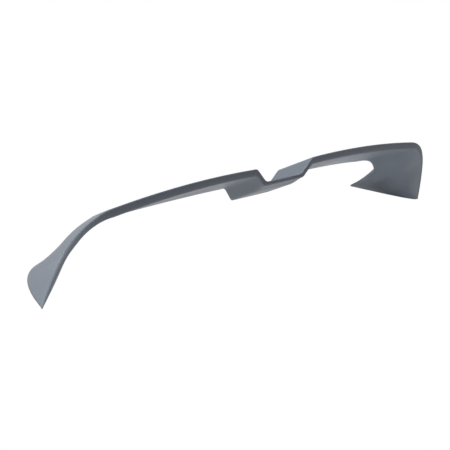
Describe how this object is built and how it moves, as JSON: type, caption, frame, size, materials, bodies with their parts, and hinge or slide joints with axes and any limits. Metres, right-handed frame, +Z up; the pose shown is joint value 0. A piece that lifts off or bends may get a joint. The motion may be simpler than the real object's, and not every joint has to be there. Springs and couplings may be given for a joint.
{
  "type": "roof spoiler",
  "caption": "One-piece roof spoiler for a hatchback: thin arched blade with a dip in the middle and a pointed side fin at each end.",
  "frame": {"origin": "middle of the bonding face, in front of the dip", "axes": "+X to the car's right, +Y forward, +Z up"},
  "size_m": [1.2002, 0.3388, 0.1773],
  "materials": {
    "satin_shell": "satin"
  },
  "bodies": {
    "root": {"spoiler": "satin_shell"}
  },
  "joints": []
}
